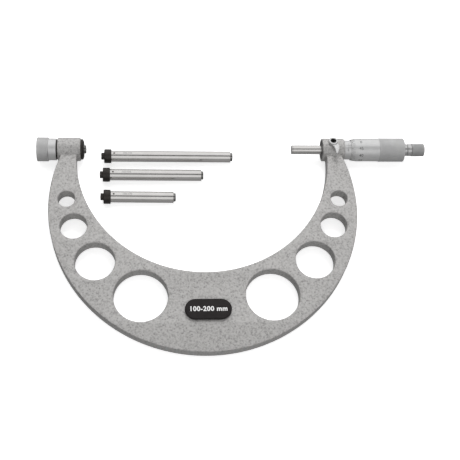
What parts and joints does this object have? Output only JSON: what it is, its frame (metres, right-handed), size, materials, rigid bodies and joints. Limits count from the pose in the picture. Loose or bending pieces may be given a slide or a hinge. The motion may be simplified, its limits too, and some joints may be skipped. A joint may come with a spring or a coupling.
{
  "type": "outside micrometer",
  "caption": "Outside micrometer: C-shaped bow, screw spindle with thimble, ratchet and lock lever, a clamped anvil and loose anvils of other lengths.",
  "frame": {"origin": "centre of the mounted anvil's measuring face", "axes": "+X along the measuring axis towards the spindle, +Z out of the front of the bow, which hangs towards -Y; the micrometer lies on its back"},
  "size_m": [0.3373, 0.1954, 0.0246],
  "materials": {
    "bow_paint": "hammertone enamel over a cast bow",
    "badge_plastic": "matt black moulding",
    "black_steel": "blackened steel",
    "satin_chrome": "satin chrome plate",
    "ground_steel": "ground and polished steel",
    "carbide": "lapped hard tip",
    "inner_steel": "turned steel",
    "brass": "turned brass"
  },
  "bodies": {
    "frame": {"frame": "bow_paint", "badge_pad": "badge_plastic", "anvil_bush": "black_steel", "stop_ring": "black_steel", "inner_sleeve": "inner_steel", "graduated_sleeve": "satin_chrome", "adjusting_nut": "inner_steel", "lock_shoe": "brass"},
    "lock": {"lock_lever": "satin_chrome", "lock_screw": "black_steel"},
    "anvil_175": {"anvil_175_rod": "ground_steel", "anvil_175_tip": "carbide", "anvil_175_collar": "black_steel", "anvil_175_nut": "black_steel"},
    "cap_travel": {"thrust_pad": "inner_steel"},
    "cap": {"clamp_cap": "satin_chrome"},
    "anvil_150": {"anvil_150_rod": "ground_steel", "anvil_150_tip": "carbide", "anvil_150_collar": "black_steel", "anvil_150_nut": "black_steel"},
    "anvil_125": {"anvil_125_rod": "ground_steel", "anvil_125_tip": "carbide", "anvil_125_collar": "black_steel", "anvil_125_nut": "black_steel"},
    "anvil_100": {"anvil_100_rod": "ground_steel", "anvil_100_tip": "carbide", "anvil_100_collar": "black_steel", "anvil_100_nut": "black_steel"},
    "spindle": {"spindle": "ground_steel", "spindle_tip": "carbide"},
    "thimble": {"thimble": "satin_chrome", "ratchet_base": "satin_chrome", "ratchet_screw": "black_steel"},
    "ratchet": {"ratchet_ring": "satin_chrome", "ratchet_pawl": "inner_steel", "pawl_spring": "inner_steel", "ratchet_knob": "satin_chrome"}
  },
  "joints": [
    {"name": "lock_lever_turn", "type": "hinge", "parent": "frame", "child": "lock", "pos_m": [0.2136, 0, 0], "axis": [0, 0.2079, 0.9781], "range_deg": [-45, 15]},
    {"name": "anvil_draw", "type": "slide", "parent": "frame", "child": "anvil_175", "axis": [-1, 0, 0], "range_m": [0, 0.045]},
    {"name": "cap_travel", "type": "slide", "parent": "anvil_175", "child": "cap_travel", "axis": [-1, 0, 0], "range_m": [0, 0.0045]},
    {"name": "cap_turn", "type": "hinge", "parent": "cap_travel", "child": "cap", "pos_m": [-0.035, 0, 0], "axis": [-1, 0, 0], "range_deg": [0, 2160]},
    {"name": "anvil_150_lift", "type": "slide", "parent": "frame", "child": "anvil_150", "axis": [0, 0, 1], "range_m": [0, 0.06]},
    {"name": "anvil_125_lift", "type": "slide", "parent": "frame", "child": "anvil_125", "axis": [0, 0, 1], "range_m": [0, 0.06]},
    {"name": "anvil_100_lift", "type": "slide", "parent": "frame", "child": "anvil_100", "axis": [0, 0, 1], "range_m": [0, 0.06]},
    {"name": "spindle_travel", "type": "slide", "parent": "frame", "child": "spindle", "axis": [1, 0, 0], "range_m": [-0.00298, 0.02202]},
    {"name": "thimble_turn", "type": "hinge", "parent": "spindle", "child": "thimble", "pos_m": [0.25, 0, 0], "axis": [1, 0, 0], "range_deg": [-2145.6, 15854.4]},
    {"name": "ratchet_turn", "type": "hinge", "parent": "thimble", "child": "ratchet", "pos_m": [0.285, 0, 0], "axis": [1, 0, 0], "continuous": true}
  ],
  "couplings": [
    {"joint": "cap_travel", "follows": "cap_turn", "m_per_rad": 0.00011937},
    {"joint": "thimble_turn", "follows": "spindle_travel", "rad_per_m": 12566}
  ]
}
